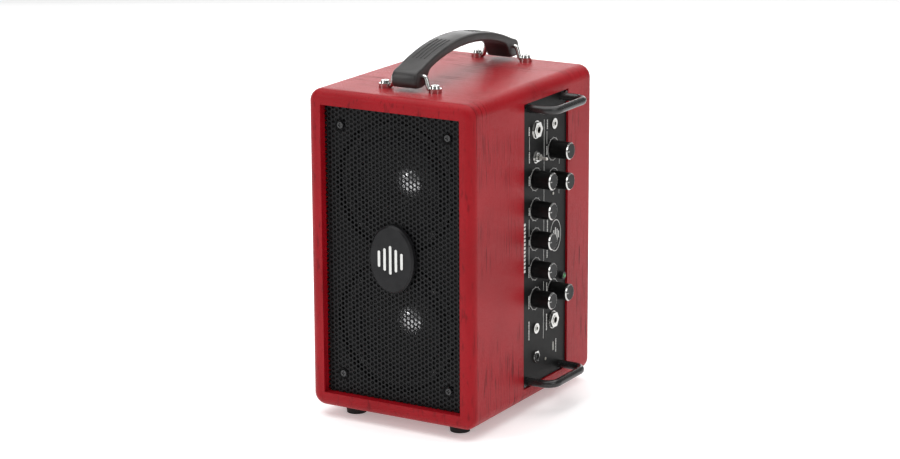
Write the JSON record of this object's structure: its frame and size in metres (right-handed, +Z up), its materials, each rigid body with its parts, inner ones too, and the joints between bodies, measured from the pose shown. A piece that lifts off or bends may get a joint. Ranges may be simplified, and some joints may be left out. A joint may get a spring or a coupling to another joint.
{
  "type": "portable bass amplifier",
  "caption": "Small upright instrument amplifier in red grained covering, with a perforated black grille, side control panel between bumper bars, carrying strap and rear passive radiators.",
  "frame": {"origin": "middle of the footprint, bumper bars included, on the plane the feet stand on", "axes": "+Z up, the grille faces -Y, the control panel and its bumper bars face +X"},
  "size_m": [0.2166, 0.244, 0.3737],
  "materials": {
    "board": "bare fibreboard",
    "black_board": "fibreboard sprayed matt black",
    "red_covering": "leather-grained red vinyl, low sheen",
    "black_rubber": "matt black rubber",
    "soft_rubber": "smooth black butyl",
    "zinc_steel": "zinc-plated steel",
    "black_grille": "satin black perforated sheet",
    "black_screw": "gloss black",
    "badge_grey": "satin dark grey",
    "bright_trim": "polished",
    "basket_steel": "black powder coat",
    "ferrite": "dull dark grey ferrite",
    "cone_paper": "coated dark paper",
    "dust_cap_metal": "spun, satin",
    "spider_cloth": "resin-dipped cloth",
    "frame_plastic": "fine texture black",
    "radiator_plastic": "satin black",
    "panel_black": "satin black, printed in white",
    "guard_black": "semi-gloss black",
    "pot_metal": "stamped steel",
    "bright_nut": "nickel plate",
    "socket_plastic": "moulded black",
    "lamp_green": "clear tinted lens",
    "chassis_steel": "galvanised sheet",
    "circuit_board": "green solder mask",
    "bare_aluminium": "as extruded",
    "battery_wrap": "blue shrink wrap",
    "strap_black": "moulded, leather grain",
    "knob_black": "black sides, silver rim"
  },
  "bodies": {
    "cabinet": {"amp_chassis": "chassis_steel", "badge": "badge_grey", "badge_emblem": "bright_trim", "baffle": "black_board", "battery_pack": "battery_wrap", "cabinet_carcass": "board", "control_panel": "panel_black", "dc_inlet": "socket_plastic", "driver_baskets": "basket_steel", "driver_gaskets": "black_rubber", "driver_magnets": "ferrite", "driver_pole_plates": "zinc_steel", "driver_screws": "black_screw", "feet": "black_rubber", "foot_screws": "zinc_steel", "grille": "black_grille", "grille_screws": "black_screw", "handle_brackets": "bright_trim", "handle_screws": "bright_trim", "handle_strap": "strap_black", "heatsink": "bare_aluminium", "lamp_bezel": "socket_plastic", "lamps": "lamp_green", "lower_guard": "guard_black", "lower_radiator_surround": "soft_rubber", "lower_spider": "spider_cloth", "lower_surround": "soft_rubber", "main_board": "circuit_board", "mini_jacks": "socket_plastic", "panel_nuts": "bright_nut", "panel_screws": "black_screw", "phone_jacks": "socket_plastic", "pot_bodies": "pot_metal", "pot_nuts": "bright_nut", "radiator_frames": "frame_plastic", "radiator_screws": "black_screw", "rear_panel": "black_board", "rear_panel_screws": "black_screw", "toggle_housing": "bright_nut", "upper_guard": "guard_black", "upper_radiator_surround": "soft_rubber", "upper_spider": "spider_cloth", "upper_surround": "soft_rubber", "usb_port": "bright_nut", "vinyl_covering": "red_covering"},
    "upper_woofer": {"upper_cone": "cone_paper", "upper_dust_cap": "dust_cap_metal"},
    "lower_woofer": {"lower_cone": "cone_paper", "lower_dust_cap": "dust_cap_metal"},
    "upper_radiator": {"upper_radiator_cone": "radiator_plastic"},
    "lower_radiator": {"lower_radiator_cone": "radiator_plastic"},
    "standby_toggle": {"toggle_lever": "bright_trim"},
    "input_control": {"input_knob": "knob_black"},
    "bass_control": {"bass_knob": "knob_black"},
    "middle_control": {"middle_knob": "knob_black"},
    "treble_control": {"treble_knob": "knob_black"},
    "master_control": {"master_knob": "knob_black"},
    "aux_control": {"aux_knob": "knob_black"},
    "limiter_control": {"limiter_knob": "knob_black"},
    "line_out_control": {"line_out_knob": "knob_black"}
  },
  "joints": [
    {"name": "upper_woofer_travel", "type": "slide", "parent": "cabinet", "child": "upper_woofer", "axis": [0, -1, 0], "range_m": [-0.003, 0.003], "stiffness_N_per_m": 900, "deforming": ["upper_surround", "upper_spider"]},
    {"name": "lower_woofer_travel", "type": "slide", "parent": "cabinet", "child": "lower_woofer", "axis": [0, -1, 0], "range_m": [-0.003, 0.003], "stiffness_N_per_m": 900, "deforming": ["lower_surround", "lower_spider"]},
    {"name": "upper_radiator_travel", "type": "slide", "parent": "cabinet", "child": "upper_radiator", "axis": [0, 1, 0], "range_m": [-0.004, 0.004], "stiffness_N_per_m": 700, "deforming": ["upper_radiator_surround"]},
    {"name": "lower_radiator_travel", "type": "slide", "parent": "cabinet", "child": "lower_radiator", "axis": [0, 1, 0], "range_m": [-0.004, 0.004], "stiffness_N_per_m": 700, "deforming": ["lower_radiator_surround"]},
    {"name": "standby_toggle_throw", "type": "hinge", "parent": "cabinet", "child": "standby_toggle", "pos_m": [0.0777, 0.0055, 0.2595], "axis": [0, 0, 1], "range_deg": [0, 24]},
    {"name": "input_turn", "type": "hinge", "parent": "cabinet", "child": "input_control", "pos_m": [0.0857, 0.0055, 0.237], "axis": [1, 0, 0], "range_deg": [-150, 150]},
    {"name": "bass_turn", "type": "hinge", "parent": "cabinet", "child": "bass_control", "pos_m": [0.0857, 0.0055, 0.2065], "axis": [1, 0, 0], "range_deg": [-150, 150]},
    {"name": "middle_turn", "type": "hinge", "parent": "cabinet", "child": "middle_control", "pos_m": [0.0857, 0.0055, 0.176], "axis": [1, 0, 0], "range_deg": [-150, 150]},
    {"name": "treble_turn", "type": "hinge", "parent": "cabinet", "child": "treble_control", "pos_m": [0.0857, 0.0055, 0.1455], "axis": [1, 0, 0], "range_deg": [-150, 150]},
    {"name": "master_turn", "type": "hinge", "parent": "cabinet", "child": "master_control", "pos_m": [0.0857, 0.0055, 0.115], "axis": [1, 0, 0], "range_deg": [-150, 150]},
    {"name": "aux_turn", "type": "hinge", "parent": "cabinet", "child": "aux_control", "pos_m": [0.0857, 0.0415, 0.2605], "axis": [1, 0, 0], "range_deg": [-150, 150]},
    {"name": "limiter_turn", "type": "hinge", "parent": "cabinet", "child": "limiter_control", "pos_m": [0.0857, 0.0415, 0.2295], "axis": [1, 0, 0], "range_deg": [-150, 150]},
    {"name": "line_out_turn", "type": "hinge", "parent": "cabinet", "child": "line_out_control", "pos_m": [0.0857, 0.0415, 0.115], "axis": [1, 0, 0], "range_deg": [-150, 150]}
  ]
}
